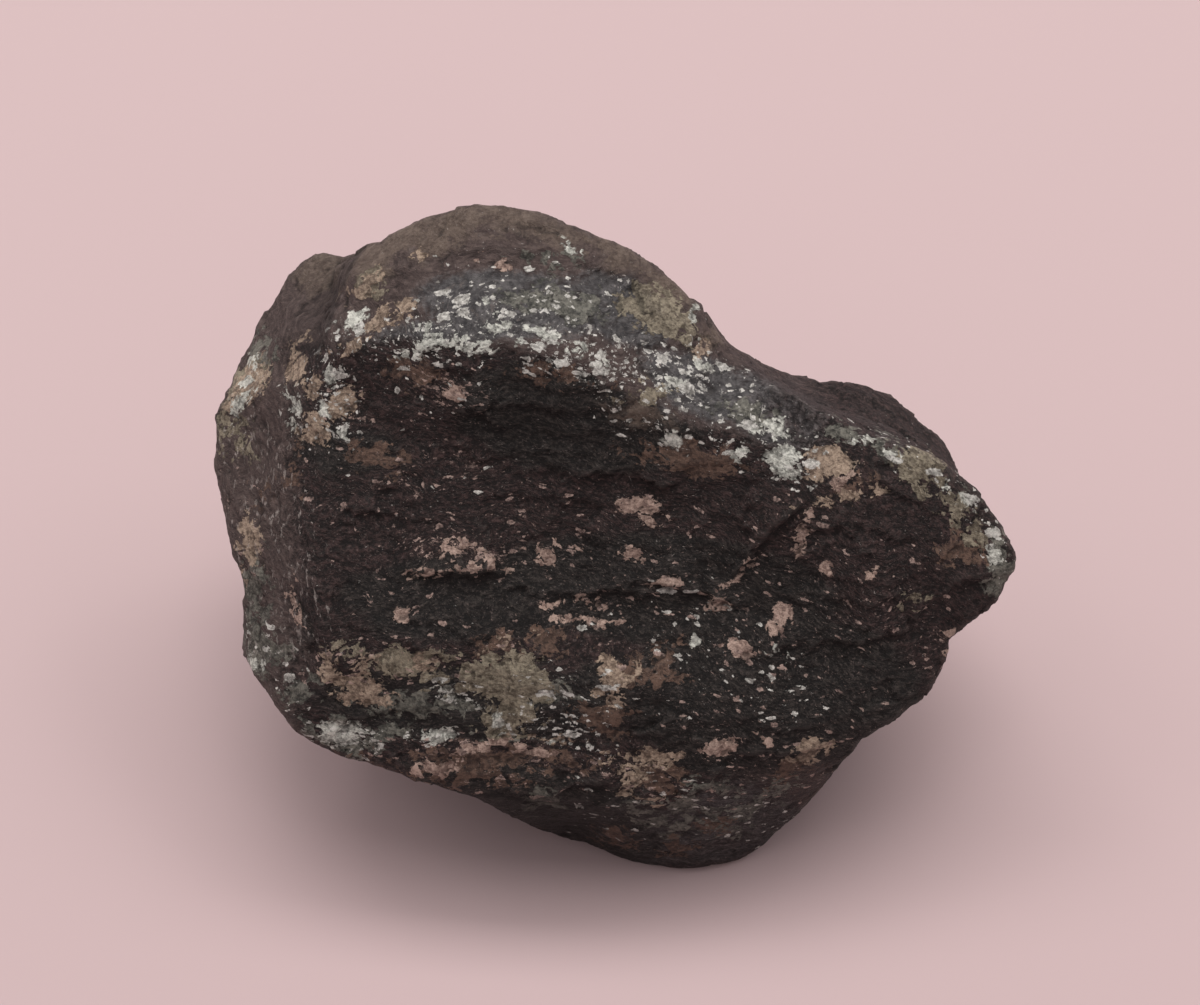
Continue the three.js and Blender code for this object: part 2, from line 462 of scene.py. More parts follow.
# ---- The stone: which mineral lies where ------------------------------------------------------
# Dark ground rock is grown through with pale feldspar, brown-stained grains and a chalky
# white crust. They grew with the rock and show as irregular patches on its broken faces.
# Each patch: across and up the face, half its width and height in mm, and its turn in degrees.
PATCHES = {
    "smoky": [
        (-21.3, 22.8, 2.4, 2.1, 40), (-18.7, 24.9, 2.4, 1.7, 30), (-14, 26.2, 3.7, 1.5, 14),
        (-8.4, 26.6, 3.9, 1.4, -6), (-3.7, 25.1, 3.2, 1.1, -14), (1.9, 23.6, 3.2, 1.5, -28),
        (6.4, 20.3, 2.4, 1.7, -45), (10.1, 15.1, 1.1, 1.3, -50), (3.7, 8.4, 2.2, 0.9, -10),
        (-26.2, 21.9, 2.8, 2.1, 30), (-15.9, 24, 2.8, 1.3, 10),
    ],
    "olive": [
        (-33.1, 11.4, 1.5, 1.9, -28), (-35, 7.7, 0.9, 2.2, -14), (5.1, 17.7, 3.4, 2, -22),
        (8.4, 16.1, 1.7, 1.1, -60), (4.2, 10.2, 1.9, 1, -8), (-23.4, -13.9, 1.4, 0.7, 4),
        (-18.7, -15.1, 2.8, 1.4, -8), (-11, -16.4, 3.2, 1.4, 0), (-8.0, -16.6, 3.8, 2.4, -8),
        (-8.7, -20.4, 2.1, 1.6, 0), (-7, -19.6, 1.3, 1.1, 0), (29.9, 3, 2.4, 1.3, -38),
        (33.2, -0.3, 2.6, 1.2, -42), (35.3, -2.8, 1.9, 1, -50), (-21.3, 20.2, 1.3, 1.3, 45),
        (31, 0.4, 2.2, 0.7, -40), (-33.1, 5.8, 0.8, 2.1, 0), (29.2, -8.9, 0.8, 0.5, 0),
        (-15, -16.3, 1.9, 0.9, 10),
    ],
    "green": [
        (-32.2, 13.3, 1.1, 1.7, -24), (8.4, -27.9, 1.3, 0.8, 10), (3.7, -29, 1.1, 0.8, 0),
        (-5.6, -27.9, 1.3, 0.7, -10), (-5.1, 22.8, 1.1, 0.3, -6), (-18.7, -18.9, 3.4, 1.1, -4),
        (-21, -22.1, 2.2, 1, 10), (-24.3, -21.7, 2.8, 1.3, -14), (-14, -18.5, 1.9, 1.1, -20),
        (-4.1, -17.6, 2.1, 1.1, 0), (-9.3, -22.1, 1.5, 0.7, 0), (-32.7, -8.7, 1, 3.4, -4),
        (-32.5, -14.3, 1.2, 1.9, 10), (13.6, 8.8, 2.2, 1.0, -20), (23.4, 6.4, 1.1, 0.5, -16),
        (27.1, 5, 1.2, 0.7, -26), (37.6, -5.6, 1.3, 2.6, 14), (33.6, 0.6, 1.6, 0.7, -40),
        (-30.4, -13.8, 1.1, 1.3, 0), (-3.7, 18.9, 4.1, 1.5, -8), (13.1, -29, 2.4, 1.2, 20),
        (7.4, -30.2, 1.6, 0.8, 0), (16.5, -26.8, 1.3, 0.8, 30), (10.5, -26.6, 1.4, 0.6, -10),
        (-28.1, -17.6, 1.5, 1.1, 0),
    ],
    "brown": [
        (10.8, -30.3, 0.9, 0.7, 0), (1.9, -31.6, 1.5, 0.6, -10), (7.5, -32.2, 0.9, 0.5, 0),
        (-9.5, -13.5, 2.6, 1.1, 0), (3.7, -15.9, 3.4, 1.3, -4), (6.1, -14.3, 1.5, 0.8, 10),
        (0, -20, 2.4, 1.1, -12), (23.4, 0.9, 1.8, 0.8, 18), (33.5, -4.5, 2.1, 1.2, -20),
        (-20.6, -24.5, 2.8, 0.6, -18), (-9.8, -23.9, 5.2, 0.9, -2), (-13.6, -25.4, 3.7, 0.7, -6),
        (-3.7, -24.1, 3.2, 0.7, -6), (5.4, -25.7, 2.4, 1.7, 0), (17.8, -24.7, 2.1, 0.9, 20),
        (-28.4, 3, 0.7, 1.1, 0), (-31.6, 0.9, 0.5, 0.8, 0), (-21, 4.4, 2.1, 0.8, -20),
        (8.4, 4.4, 4.9, 1.2, -4), (-4.2, 12, 3, 0.8, -8), (-17.8, 12.2, 2.1, 1.1, 0),
        (-4.7, -13.1, 2.4, 0.7, 0),
    ],
    "beige": [
        (-25.4, -14.6, 0.7, 0.6, 10), (-24.9, -16.4, 1.3, 0.8, -20), (-22.0, -17.7, 2.5, 1.2, -22),
        (1.1, -16.5, 1.2, 2.1, 10), (0, -18, 0.9, 0.9, 0), (-16.8, -14.8, 1.4, 0.8, 0),
        (-26.6, 7, 1.5, 1.5, -14), (-24.0, 9.5, 1.4, 1.5, 0), (-28.3, 13.3, 0.8, 1.6, -8),
        (21.4, 3.7, 2.0, 1.5, 10), (-32.9, -3.9, 1.2, 2.1, 4), (-33.0, 11.0, 1.3, 2.8, -26),
        (-27.2, 10.6, 1.3, 0.8, 40), (22.9, 0.4, 2.4, 0.5, 14), (-8.8, -13.4, 1.3, 0.4, 10),
        (2.3, -25.6, 0.7, 1.5, 0), (5.0, -23.8, 1.9, 0.5, 0), (5.2, -27.5, 1.7, 0.4, -4),
        (-22.0, -15.2, 1.1, 0.5, 20), (-20.4, 17, 2.6, 0.7, 28), (-23.2, 14.9, 1.7, 0.5, 28),
        (-17.6, 23.3, 0.9, 0.6, 0), (-22.3, 20.1, 1.5, 0.7, 44), (19.8, -23, 1.9, 1, 12),
        (3.2, -25.6, 0.9, 1.1, 0), (0.5, -23.7, 1.1, 0.6, 0), (-5.1, -22.1, 2.1, 0.6, -6),
        (-33.7, -6.4, 0.7, 1.3, 0), (9.3, 14, 0.9, 0.7, 0), (3.7, -15.5, 1.1, 0.6, 10),
    ],
    "pink": [
        (-12.2, -23.0, 2.6, 0.5, 8), (-15.9, -24.9, 1.6, 0.4, 4), (-6.5, -23.4, 1.4, 0.4, -10),
        (-12.6, -6, 1.3, 0.3, 6), (-15.1, -6.3, 1.5, 0.3, 8), (-10.6, -5, 1.1, 0.4, -50),
        (-14, -4.3, 1.5, 0.5, 20), (3.6, -0.5, 1.4, 0.7, -6), (5.1, -1.7, 0.9, 0.3, 18),
        (-4.9, -5, 0.7, 0.8, -10), (-5.1, -3.9, 0.8, 0.3, 10), (-2.2, -4.1, 0.6, 0.3, -10),
        (2.8, -4.7, 0.9, 0.4, -36), (-8.4, -6.1, 0.5, 0.4, -30), (-4.5, -9.4, 0.8, 0.4, 20),
        (-1.1, -9.4, 1.2, 0.6, -16), (-3, -10.8, 0.7, 0.2, 0), (0.7, -11.2, 0.9, 0.2, 0),
        (6.5, -7.6, 0.8, 0.3, 0), (13.3, -6, 1.3, 0.2, 42), (11.4, -9.3, 0.7, 0.4, 10),
        (-18.3, -10.4, 0.5, 0.4, 0), (17.2, -10.8, 0.7, 1.4, -24), (12.9, -13.8, 1.5, 0.6, -8),
        (18.2, -3.6, 0.6, 1.1, -18), (21.4, -6.3, 0.7, 0.5, -40), (25.3, -6.6, 0.7, 0.4, 10),
        (33.2, -14, 0.8, 0.5, -20), (31.8, -12.2, 0.9, 0.3, 10), (11.2, -22.8, 1.3, 0.5, 14),
        (15, -21.8, 0.9, 0.4, 0), (-28.4, -9.2, 0.5, 1.5, 18), (-8.6, 22.4, 0.7, 0.3, 20),
        (-10.8, 22.9, 0.3, 0.2, 0), (-13.8, 10.3, 0.8, 0.7, 0), (19.2, -1.7, 0.4, 0.7, -24),
        (23.4, 2.2, 0.4, 1.3, -56), (24.3, -15.1, 0.3, 0.3, 0),
    ],
    "chalk": [
        (-22.8, 17.2, 1.6, 0.7, 24), (-25.0, 12.2, 0.6, 1.0, 30), (-24, 6.6, 0.4, 0.4, 0),
        (-28.8, 8.6, 0.5, 1.3, 0), (-25.6, 8.6, 0.4, 0.6, 0), (16.9, 3.9, 1.9, 1.2, -24),
        (16.5, 7.2, 1.5, 0.9, -20), (6.3, 11.1, 0.9, 0.6, 0), (13.3, 4.7, 0.9, 0.6, 0),
        (14.5, 6.7, 1.1, 0.6, -12), (6.7, 11, 1.1, 0.5, 10), (9.5, 12.6, 0.9, 0.5, -10),
        (-2, 14.1, 0.9, 0.7, -24), (0, 13.1, 0.8, 0.6, 0), (-4.7, 15.3, 1.1, 0.4, -14),
        (-7.9, 14.9, 0.7, 0.5, -20), (-13.5, 15.2, 0.9, 0.4, 8), (-16.1, 16, 0.8, 0.4, -14),
        (-9.7, 16.5, 0.8, 0.5, 20), (-10.6, 18.3, 0.7, 0.3, 10), (-15.9, 14.5, 2.0, 0.45, 14),
        (-11.5, 14.3, 1.3, 0.45, 4), (-6.4, 15.9, 1.2, 0.4, -14), (6.4, 5.8, 0.7, 0.4, 0),
        (-3, 24.2, 0.8, 0.4, -44), (8.9, 17.2, 0.2, 1.3, -6), (-24.3, -21.4, 2.2, 0.9, -14),
        (-15.2, -21.6, 1.1, 0.8, -10), (-9.3, -20.6, 0.8, 0.7, 0), (-5.1, -22.3, 0.8, 0.3, 0),
        (32.0, 1.9, 0.5, 0.3, -30), (34.9, -0.2, 0.4, 0.7, 30), (37.2, -5.0, 0.4, 0.9, 10),
        (9.5, -12.5, 0.3, 0.5, -20), (16.6, -14, 0.6, 0.4, -36), (-13.8, -18, 1.3, 0.4, -26),
        (-32.7, -15.5, 0.7, 0.7, 0), (-33.4, 9.7, 0.65, 1.6, -20), (-32.6, 13.0, 0.5, 0.8, -24),
        (24.8, 5.8, 0.8, 0.3, 10), (27.6, 4.7, 0.7, 0.3, -20),
    ],
}
# Bands thick with small grains: from, to, half the band's width in mm, and how thick it is.
GRAINY_BANDS = {
    "white_grains": [
        ((-25.2, 13.3), (-23.4, 16.1), 1.5, 0.7), ((-23.8, 14.2), (-16.8, 15.6), 1.7, 0.55),
        ((-18.7, 14.7), (-11.2, 15.6), 2.1, 0.8), ((-15.9, 17), (-9.3, 18.9), 1.9, 0.6),
        ((-12.2, 16.1), (-3.7, 16.1), 2.2, 0.72), ((-12.2, 19.8), (-5.6, 21.7), 1.7, 0.35),
        ((-5.6, 18.9), (0, 19.8), 1.9, 0.5), ((-4.7, 14.7), (0, 12.8), 2.2, 1),
        ((-0.9, 11.4), (0.9, 10.5), 1.5, 0.7), ((-0.9, 14.4), (8.4, 11.4), 2.1, 0.9),
        ((3.7, 11.4), (9.3, 12.3), 1.7, 0.8), ((1.9, 7.7), (7.5, 5.8), 1.5, 0.6),
        ((8.4, 11.4), (13.1, 9.5), 2.8, 0.6), ((9.3, 8.1), (18.7, 4.4), 2.6, 0.62),
        ((11.2, 13.3), (18.7, 9.5), 1.9, 0.15), ((18.7, 8.6), (28.1, 5.8), 2.2, 0.25),
        ((27.1, 5.8), (33.7, 1.1), 1.3, 0.45), ((33.7, 1.1), (37.9, -5.4), 1.3, 0.5),
        ((-25.2, 11.4), (-23.8, 6.7), 1.9, 0.7), ((-29, 9.5), (-28.1, 5.8), 1.1, 0.6),
        ((-21.5, 12.3), (-13.1, 9.5), 3.2, 0.3), ((-15, -17.6), (-11.2, -18.5), 1.1, 0.6),
        ((-5.6, -16.6), (0, -18.5), 2.2, 0.5), ((-7.5, -20.4), (-1.9, -21.3), 1.5, 0.6),
        ((-27.1, -22.3), (-21.5, -22.3), 1.7, 0.7), ((-16.8, -21.8), (-14, -21.8), 1.1, 0.6),
        ((-3.7, -22.7), (0, -23.2), 1.7, 0.5), ((7.5, -11), (16.8, -17.6), 3.4, 0.32),
        ((0, -12.9), (9.3, -17.6), 3.7, 0.16), ((-31.8, -12.9), (-29, -17.6), 1.9, 0.5),
        ((0, -28.8), (15, -28.8), 2.8, 0.28), ((-15, 20.8), (3.7, 22.6), 2.2, 0.15),
        ((-25.2, 7.7), (-11.2, 2.1), 3.7, 0.12),
    ],
    "pink_grains": [
        ((-18.7, -2.6), (-9.3, -4.7), 1.7, 0.7), ((-16.8, -4), (-9.8, -5), 1.1, 0.95),
        ((-20.6, -5.4), (-16.8, -4), 1.1, 0.5), ((-22.4, 0.2), (-3.7, -3.6), 4.3, 0.3),
        ((-5.6, -3.6), (5.6, -5.4), 2.8, 0.45), ((-3.7, -7.8), (9.3, -8.7), 2.1, 0.5),
        ((-20.6, -9.2), (-5.6, -10.1), 3.2, 0.25), ((3.7, -2.6), (16.8, -5.4), 3.7, 0.32),
        ((9.3, -9.2), (18.7, -12.9), 3.7, 0.40), ((18.7, -5.4), (28.1, -9.2), 3.7, 0.40),
        ((24.3, -11), (33.7, -14.8), 2.6, 0.42), ((9.3, -18.5), (24.3, -18.5), 3.7, 0.36),
        ((-15, 4.9), (-12.2, 3.5), 1.1, 0.8), ((-18.2, 3), (-17.3, 1.6), 0.9, 0.8),
        ((-15.9, 11.4), (-12.2, 9.5), 1.7, 0.8), ((-20.6, 8.6), (-16.8, 8.4), 1.1, 0.4),
        ((-20.6, -12.9), (-9.3, -13.8), 1.9, 0.4), ((-25.2, -14.8), (-15, -15.2), 2.2, 0.5),
        ((0, -12.9), (9.3, -16.6), 2.8, 0.3), ((-18.7, -24.1), (1.9, -25.5), 2.1, 0.5),
        ((1.9, -26), (18.7, -25.1), 2.4, 0.5), ((17.8, 0.2), (18.7, -3.6), 1.1, 0.5),
        ((31.8, -12.9), (33.7, -14.8), 1.1, 0.7), ((-34.6, 2.1), (-31.8, -5.4), 1.5, 0.4),
        ((-25.2, 9.5), (-23.4, 9.5), 1.5, 0.5),
    ],
    "steep_streaks": [
        ((-34.1, 14.2), (-32.3, -12.9), 3.2, 0.8), ((-31.6, 6.7), (-28.1, -12.9), 2.8, 0.95),
        ((-28.1, 5.8), (-26.2, -9.2), 1.9, 0.65),
    ],
    "streaks": [
        ((-25.2, 0.2), (-16.8, -1.7), 2.8, 0.4), ((-12.2, 24.5), (1.9, 21.7), 2.8, 0.25),
        ((-3.7, 0.2), (16.8, -3.6), 5.6, 0.25), ((16.8, -3.6), (33.7, -9.2), 5.6, 0.25),
        ((-26.2, -12.9), (-13.1, -13.8), 1.9, 0.3),
    ],
}
# Ground of another tone: across, up, half its width and height in mm, and its turn in degrees.
TONED_GROUND = {
    "bluish": [
        (-8, 18.5, 9, 3.4, -4), (2, 18, 5, 3, -30), (9, 11, 6, 2.6, -25), (17, 8, 7, 3.0, -24),
        (4.4, 7.6, 3, 1.8, -10), (-15, 15.5, 7, 1.6, 8), (25, 6, 5, 2, -20), (9, -30, 10, 4.5, 0),
    ],
    "blackish": [
        (6, -8, 16, 5, -4), (16, -18, 14, 8, 0), (-12, -9, 12, 4, 0), (-12, -19, 14, 3.2, -4),
        (-30, -12, 3, 4, 0), (2, -17.5, 7, 2.4, 0), (-6, -29, 13, 4.4, -12), (-19, -16.5, 3, 1.4, 0),
        (-2, 8, 12, 5, -8), (-24, 5, 5, 2, 0),
    ],
}


def patch_field(x, y, patches):
    """How far inside the nearest patch's edge each place is, in mm, and below 0 outside."""
    field = np.full(len(x), -2.0)
    for px, py, half_width, half_height, turn in patches:
        c, s = math.cos(math.radians(turn)), math.sin(math.radians(turn))
        u = ((x - px) * c + (y - py) * s) / half_width
        v = ((y - py) * c - (x - px) * s) / half_height
        field = np.maximum(field, (1 - np.sqrt(u * u + v * v)) * min(half_width, half_height))
    return field


def off_line(x, y, begin, end):
    """How far each place is from the straight line between two places."""
    (x0, y0), (x1, y1) = begin, end
    share = ((x - x0) * (x1 - x0) + (y - y0) * (y1 - y0)) / ((x1 - x0) ** 2 + (y1 - y0) ** 2)
    share = np.clip(share, 0, 1)
    return np.hypot(x - x0 - share * (x1 - x0), y - y0 - share * (y1 - y0))


places = places_of(stone_mesh)
normals = normals_of(stone_mesh)
across, up = on_face(places)
skin = BVHTree.FromPolygons(
    [Vector(p) for p in places], [tuple(face.vertices) for face in stone_mesh.polygons]
)
sight = Vector(FACE_OUT)
in_front = np.zeros(len(places))
for number, (place, normal) in enumerate(zip(places, normals)):
    if normal @ FACE_OUT > 0.02:
        hit = skin.ray_cast(Vector(place + normal * 0.3) + sight * 0.2, sight)
        in_front[number] = hit[0] is None


def softened(mesh, values, rounds):
    """Each value drawn part of the way to its neighbours', several times over."""
    ends = np.empty(len(mesh.edges) * 2, np.int64)
    mesh.edges.foreach_get("vertices", ends)
    first, second = ends.reshape(-1, 2).T
    count = np.bincount(ends, minlength=len(values))
    for _ in range(rounds):
        total = np.bincount(first, values[second], len(values))
        total = total + np.bincount(second, values[first], len(values))
        values = 0.5 * values + 0.5 * total / count
    return values


in_front = softened(stone_mesh, in_front, 8)

chance = np.random.default_rng(41)
clustered = soft_noise(places * (1, 1, 1.5), 13.0, 61)
hidden = np.flatnonzero((in_front < 0.2) & (clustered > 0.05))
# On the sides away from the broad face: how many patches of each kind, and their sizes in mm.
WILD_PATCHES = [
    ("smoky", 14, 3.0, 9.0), ("olive", 22, 1.0, 5.0), ("green", 22, 1.5, 6.5), ("brown", 26, 1.0, 4.5),
    ("beige", 40, 0.6, 3.6), ("pink", 40, 0.4, 2.4), ("chalk", 60, 0.3, 2.4),
]
wild = {}
for kind, count, least, most in WILD_PATCHES:
    field = np.full(len(places), -1.0)
    for number in chance.choice(hidden, count, replace=False):
        size = chance.uniform(least, most)
        away = places - places[number]
        rise = away @ np.array(LAYER_UP)
        level_out = np.sqrt(np.maximum((away**2).sum(1) - rise**2, 0))
        inside = 1 - np.sqrt((level_out / size) ** 2 + (rise / (size * 0.5)) ** 2)
        field = np.maximum(field, inside * size * 0.5)
    wild[kind] = np.maximum(field, -2)
bent_across = across + 0.5 * soft_noise(places, 3.0, 11)
bent_up = up + 0.4 * soft_noise(places, 3.0, 13)
for kind, patches in PATCHES.items():
    shown = patch_field(bent_across, bent_up, patches)
    joined = shown * in_front + wild[kind] * (1 - in_front)
    add_values(stone_mesh, kind, joined - 0.6 * np.minimum(in_front, 1 - in_front))

# The lobe behind the right-hand ridge is plain dark rock.
wing_line = np.interp(across, [10, 15, 20, 26, 32, 36, 40], [15, 11.4, 9.0, 6.9, 4.1, 0, -6])
behind_wing = np.clip((up - wing_line) / 0.8, 0, 1) * (across > 11)
for number, (kind, bands) in enumerate(GRAINY_BANDS.items()):
    thick = np.zeros(len(places))
    for begin, end, half_width, strength in bands:
        fade = np.clip(1.7 - off_line(bent_across, bent_up, begin, end) / half_width, 0, 1)
        thick = np.maximum(thick, strength * fade * (1 - behind_wing))
    wild_noise = soft_noise(places * (1, 1, 1.8), 7.0, 21 + number)
    wild_thick = np.clip(0.12 + 0.5 * clustered + 0.5 * wild_noise, 0, 1)
    add_values(stone_mesh, kind, thick * in_front + wild_thick * (1 - in_front))
for number, (kind, zones) in enumerate(TONED_GROUND.items()):
    shown = np.clip(patch_field(bent_across, bent_up, zones) / 1.6 + 0.5, 0, 1)
    wild_shown = np.clip(0.4 + 0.9 * soft_noise(places, 12.0, 24 + number), 0, 1)
    add_values(stone_mesh, kind, shown * in_front + wild_shown * (1 - in_front))

# The upper cleavage slope and the flanks weathered to a paler grey-brown than the fresh dark face.
crest_line = np.interp(
    across,
    [-26, -18, -11, -4, 2, 9, 17, 21, 26, 28.5, 31, 33, 39],
    [14.5, 15.5, 14.5, 13.5, 10.5, 7, 4, 4.4, 4.6, 3.4, 1.2, -1.5, -6],
)
above_crest = np.clip((up - crest_line) / 2.5 + 0.5, 0, 1)
left_flank = np.clip((-25.0 - bent_across + 1.2 * soft_noise(places, 4.0, 51)) / 5.0, 0, 1)
# The foot draws in beneath a broken lip that runs along the bottom of the face.
lip_line = np.interp(
    across,
    [-28, -21.1, -14.3, -7.6, -2.9, 1.9, 5.9, 8.6, 12.6, 17.4, 21.4],
    [-22.1, -24.8, -26.7, -26.9, -27.2, -26.9, -28.2, -27.2, -24.2, -23.8, -23.5],
)
under_lip = np.clip((lip_line - bent_up) / 0.7, 0, 1) * in_front
pale_foot = under_lip * np.interp(across, [-12, -3, 3, 8], [0, 0.12, 0.36, 0.48])
thinner_on_wing = np.interp(across, [7, 14, 22], [1.0, 0.58, 0.36])
# Painted shade: the low part of the left lobe is kept less weathered, so it stays darker.
low_lobe = np.clip((-24.6 - across) / 1.2, 0, 1) * np.clip((20.8 - up) / 1.5, 0, 1)
above_crest = above_crest * (1 - 0.25 * low_lobe)
weathered = np.maximum(np.maximum(above_crest * thinner_on_wing, 0.74 * left_flank), pale_foot)
weathered = weathered * (1 - 0.12 * behind_wing)
# Painted shade in the cleft behind the hump's left edge and deep under the lip.
CLEFT = [(-21.6, 24.2), (-23.0, 22.4), (-24.4, 19.2), (-25.4, 16.0), (-26.2, 13.4)]
cleft = np.zeros(len(places))
for (x0, y0), (x1, y1) in zip(CLEFT, CLEFT[1:]):
    length = math.hypot(x1 - x0, y1 - y0)
    along = ((across - x0) * (x1 - x0) + (up - y0) * (y1 - y0)) / length
    left_of = -((up - y0) * (x1 - x0) - (across - x0) * (y1 - y0)) / length
    beside = np.clip((left_of + 0.15) / 0.3, 0, 1) * np.exp(-np.maximum(left_of, 0) / 1.5)
    cleft = np.maximum(cleft, beside * (along > -0.4) * (along < length + 0.4))
deep_under = under_lip * np.interp(across, [-26, -18, -5, 3, 12], [0.2, 0.75, 0.70, 0.30, 0.15])
add_values(stone_mesh, "painted_shade", np.maximum(cleft, deep_under) * in_front)
wild_weathered = np.clip(0.5 + 0.6 * soft_noise(places, 14.0, 31), 0, 1)
add_values(stone_mesh, "weathered", weathered * in_front + wild_weathered * (1 - in_front))

# How far each spot stands out from the skin around it or sinks into it, for paler raised edges and painted
# shade in sunk nicks.
near = np.stack([softened(stone_mesh, places[:, axis].copy(), 6) for axis in range(3)], 1)
add_values(stone_mesh, "nick", np.clip(((places - near) * normals).sum(1) / 0.12, -1, 1))


# ---- The stone: its finish --------------------------------------------------------------------
# Fresh dark rock is dull, with tiny glints off its feldspar painted in as pale specks. The pale grains are
# glassier, and the white crust is chalky.
look = stone_finish.node_tree
surface = look.nodes["Principled BSDF"]
at = scaled(look, put(look, "ShaderNodeTexCoord").outputs["Object"], 1 / MM)


def worn_value(name):
    return put(look, "ShaderNodeAttribute", attribute_name=name).outputs["Fac"]


def off_centre(noise_value, amount):
    """Noise as a push either way from 0."""
    return sums(look, "MULTIPLY", about_zero(look, noise_value), amount)


def plus(*values):
    total = values[0]
    for value in values[1:]:
        total = sums(look, "ADD", total, value)
    return total


def two_tone(share, dark, pale):
    return mix_colours(look, share, (*dark, 1), (*pale, 1))


def laid_over(share, colour, strength=1.0):
    """The finish so far with this colour over it."""
    return mix_colours(look, sums(look, "MULTIPLY", share, strength), finish, colour)


# The layers wander a little up and down and arch gently over the hump. Everything grown
# along them is drawn out level.
wander = plus(off_centre(cloud(look, at, 0.14, 2.0), 3.5), off_centre(cloud(look, at, 0.8, 2.0), 0.22))
sideways = put(look, "ShaderNodeSeparateXYZ", {0: at}).outputs["X"]
arch = sums(look, "COSINE", sums(look, "DIVIDE", sums(look, "ADD", sideways, 8.0), 30.0))
through_layers = vectors(look, "DOT_PRODUCT", at, LAYER_UP, out="Value")
rise = plus(through_layers, wander, sums(look, "MULTIPLY", arch, -9.0))
flat_place = vectors(look, "SUBTRACT", at, scaled(look, tuple(LAYER_UP), through_layers))


def drawn_out(stretch):
    """Places squeezed through the layers, so that noise made there is drawn out along them."""
    squeezed = scaled(look, tuple(LAYER_UP), sums(look, "MULTIPLY", rise, stretch))
    return vectors(look, "ADD", flat_place, squeezed)


drawn_2 = drawn_out(2.2)
drawn_5 = drawn_out(5.0)
thin_layers = cloud(look, drawn_5, 0.9, 6.0, 0.72)
fine_mottle = cloud(look, drawn_2, 1.9, 5.0, 0.78)
broad_mottle = cloud(look, drawn_2, 0.22, 3.0, 0.6)

# Fresh dark rock: purple-brown, and greenish black in places, peppered with tiny pale specks of painted glint
# and with dark specks.
ground_share = plus(thin_layers, off_centre(fine_mottle, 1.2))
purple_share = ramp(look, ground_share, 0.38, 0.82)
purple_ground = two_tone(purple_share, (0.0065, 0.0036, 0.0036), (0.084, 0.050, 0.047))
black_share = ramp(look, ground_share, 0.40, 0.84)
black_ground = two_tone(black_share, (0.0050, 0.0040, 0.0038), (0.070, 0.058, 0.052))
blackish = plus(worn_value("blackish"), off_centre(fine_mottle, 1.6), off_centre(broad_mottle, 1.0))
blackish = ramp(look, blackish, 0.3, 0.7)
ground = mix_colours(look, blackish, purple_ground, black_ground)
glint_and_speck_noise = cloud(look, vectors(look, "ADD", drawn_2, (7, 3, 1)), 3.6, 3.0, 0.65)
# Painted glints: tiny pale specks where the noise peaks. Dark specks where it dips.
ground = mix_colours(look, ramp(look, glint_and_speck_noise, 0.57, 0.72, 0, 0.6), ground, (0.17, 0.13, 0.12, 1))
ground = mix_colours(look, ramp(look, glint_and_speck_noise, 0.45, 0.32, 0, 0.6), ground, (0.003, 0.002, 0.002, 1))

# The weathered upper slope: grey-brown, with bluish areas and thin dark layers.
slope_share = ramp(look, plus(thin_layers, off_centre(fine_mottle, 0.6)), 0.30, 0.78)
slope = two_tone(slope_share, (0.046, 0.031, 0.029), (0.150, 0.110, 0.100))
blue_slope = two_tone(slope_share, (0.032, 0.030, 0.032), (0.175, 0.165, 0.165))
bluish = ramp(look, plus(worn_value("bluish"), off_centre(fine_mottle, 1.4)), 0.25, 0.8)
slope = mix_colours(look, bluish, slope, blue_slope)
layer_lines = cloud(look, drawn_out(8.0), 0.42, 4.0, 0.65)
slope = mix_colours(look, ramp(look, layer_lines, 0.56, 0.66, 0, 0.65), slope, (0.028, 0.020, 0.019, 1))
slope = mix_colours(look, ramp(look, layer_lines, 0.40, 0.32, 0, 0.45), slope, (0.20, 0.165, 0.15, 1))
weather = plus(worn_value("weathered"), off_centre(fine_mottle, 0.9), off_centre(broad_mottle, 0.5))
finish = mix_colours(look, ramp(look, weather, 0.3, 0.72), ground, slope)

# Grains of other minerals. Each grain is in or out of a patch as a whole, which leaves blocky,
# ragged edges.
shake = vectors(look, "SUBTRACT", cloud(look, at, 1.5, 3.0, 0.6, out="Color"), (0.5, 0.5, 0.5))
shaken = vectors(look, "ADD", drawn_out(1.4), scaled(look, shake, 0.9))
big_grains = put(look, "ShaderNodeTexVoronoi", {"Vector": shaken, "Scale": 0.75}, feature="F1")
small_grains = put(look, "ShaderNodeTexVoronoi", {"Vector": shaken, "Scale": 2.1}, feature="F1")
big_lot = put(look, "ShaderNodeSeparateColor", {0: big_grains.outputs["Color"]}).outputs
small_lot = put(look, "ShaderNodeSeparateColor", {0: small_grains.outputs["Color"]}).outputs
fine_noise = cloud(look, at, 3.0, 4.0, 0.65)
ragged_edge = plus(off_centre(big_lot[0], 0.85), off_centre(small_lot[0], 0.50), off_centre(fine_noise, 0.5))
ragged_edge_b = plus(
    off_centre(big_lot[1], 0.85), off_centre(small_lot[1], 0.50), off_centre(fine_noise, -0.5)
)
grain_tone = plus(
    sums(look, "MULTIPLY", big_lot[2], 0.22),
    sums(look, "MULTIPLY", small_lot[2], 0.28),
    off_centre(fine_noise, 1.1),
    off_centre(fine_mottle, 0.9),
    0.25,
)
tone = ramp(look, grain_tone, 0.15, 0.85)


def patch_share(name, edge, raggedness, soft):
    return ramp(look, sums(look, "MULTIPLY_ADD", edge, raggedness, worn_value(name)), -soft, soft)


